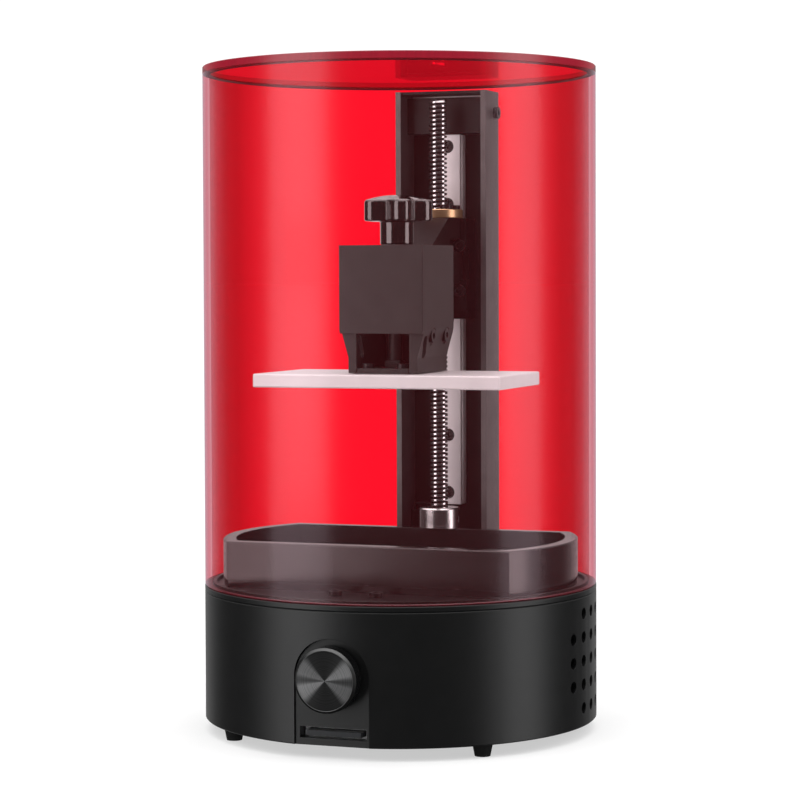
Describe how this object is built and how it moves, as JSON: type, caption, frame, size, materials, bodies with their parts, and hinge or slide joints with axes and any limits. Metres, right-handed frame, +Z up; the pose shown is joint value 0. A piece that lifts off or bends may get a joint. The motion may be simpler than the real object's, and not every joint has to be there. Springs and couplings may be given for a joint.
{
  "type": "resin printer",
  "caption": "Round desktop resin printer with a clear red lift-off cover, a Z column with lead screw, a clamped build plate, a vat and a base with a turn-and-press knob.",
  "frame": {"origin": "on the cylinder's axis, in the plane the feet stand on", "axes": "+Z up; -Y to the front, where the control knob is; +X to the right seen from the front"},
  "size_m": [0.17, 0.176, 0.286],
  "materials": {
    "base_black": "satin",
    "panel_black": "semi-gloss moulded",
    "knob_black": "black anodised, spun face",
    "arm_black": "black anodised, satin",
    "column_grey": "dark grey anodised, satin",
    "vat_dark": "dark anodised, brushed lengthwise",
    "cover_red": "clear red acrylic, polished",
    "plate_silver": "bead blasted, bright",
    "steel_bright": "ground",
    "screw_steel": "polished",
    "coupler_silver": "turned, bright",
    "fastener_black": "black oxide",
    "fastener_steel": "plain",
    "brass": "machined",
    "clamp_black": "glossy moulded",
    "plastic_black": "matte",
    "foot_rubber": "matte",
    "foam_pale": "foam strip",
    "screen_glass": "polished",
    "lens_clear": "polished",
    "film_clear": "clear film",
    "board_green": "solder mask",
    "sheet_silver": "polished reflector",
    "motor_dark": "matte",
    "card_blue": "matte"
  },
  "bodies": {
    "printer": {"base_shell": "base_black", "base_top_plate": "base_black", "base_bottom_plate": "base_black", "front_panel": "panel_black", "encoder_body": "plastic_black", "sd_socket": "steel_bright", "mainboard": "board_green", "dc_inlet": "plastic_black", "lcd_frame": "plastic_black", "lcd_panel": "screen_glass", "light_funnel": "sheet_silver", "uv_lens": "lens_clear", "uv_led_board": "sheet_silver", "heat_sink": "sheet_silver", "fan_frame": "plastic_black", "vat_body": "vat_dark", "vat_film": "film_clear", "vat_ring": "vat_dark", "film_screws": "fastener_steel", "column_channel": "column_grey", "top_block": "column_grey", "top_cap": "column_grey", "cap_seal": "foam_pale", "column_brackets": "column_grey", "column_screws": "fastener_black", "linear_rail": "steel_bright", "rail_screws": "fastener_black", "limit_switch": "plastic_black", "stepper_motor": "motor_dark", "motor_screws": "fastener_black", "frame_posts": "steel_bright", "frame_screws": "fastener_steel", "feet": "foot_rubber", "board_standoffs": "brass"},
    "carriage": {"rail_carriage": "column_grey", "carriage_end_caps": "plastic_black", "carriage_screws": "fastener_black", "arm_bracket": "arm_black", "brass_nut": "brass", "nut_screws": "fastener_black", "platform_housing": "arm_black", "levelling_post": "arm_black", "plate_pad": "arm_black", "plate_screws": "fastener_steel", "side_bolts": "fastener_black", "build_plate": "plate_silver"},
    "screw": {"lead_screw": "screw_steel", "shaft_coupler": "coupler_silver", "coupler_screws": "fastener_black", "motor_shaft": "steel_bright"},
    "clamp": {"star_knob": "clamp_black", "knob_stud": "fastener_steel"},
    "knob_push": {"encoder_plunger": "plastic_black"},
    "knob": {"control_knob": "knob_black", "knob_shaft": "steel_bright"},
    "card": {"sd_card": "card_blue"},
    "fan": {"fan_rotor": "plastic_black"},
    "cover": {"cover_tube": "cover_red", "cover_top": "cover_red"}
  },
  "joints": [
    {"name": "z_travel", "type": "slide", "parent": "printer", "child": "carriage", "axis": [0, 0, 1], "range_m": [-0.0816, 0.038]},
    {"name": "screw_turn", "type": "hinge", "parent": "printer", "child": "screw", "pos_m": [0, 0.052, 0.1], "axis": [0, 0, 1], "continuous": true},
    {"name": "clamp_turn", "type": "hinge", "parent": "carriage", "child": "clamp", "pos_m": [0, -0.003, 0.22], "axis": [0, 0, 1], "range_deg": [0, 540]},
    {"name": "knob_press", "type": "slide", "parent": "printer", "child": "knob_push", "axis": [0, 1, 0], "range_m": [0, 0.0005], "stiffness_N_per_m": 4000, "springref_m": -0.0004},
    {"name": "knob_turn", "type": "hinge", "parent": "knob_push", "child": "knob", "pos_m": [0, -0.085, 0.0331], "axis": [0, 1, 0], "continuous": true},
    {"name": "card_slide", "type": "slide", "parent": "printer", "child": "card", "axis": [0, -1, 0], "range_m": [0, 0.034]},
    {"name": "fan_turn", "type": "hinge", "parent": "printer", "child": "fan", "pos_m": [0, -0.002, 0.013], "axis": [0, 0, 1], "continuous": true},
    {"name": "cover_lift", "type": "slide", "parent": "printer", "child": "cover", "axis": [0, 0, 1], "range_m": [0, 0.222]}
  ],
  "couplings": [
    {"joint": "screw_turn", "follows": "z_travel", "rad_per_m": -3141.6}
  ]
}
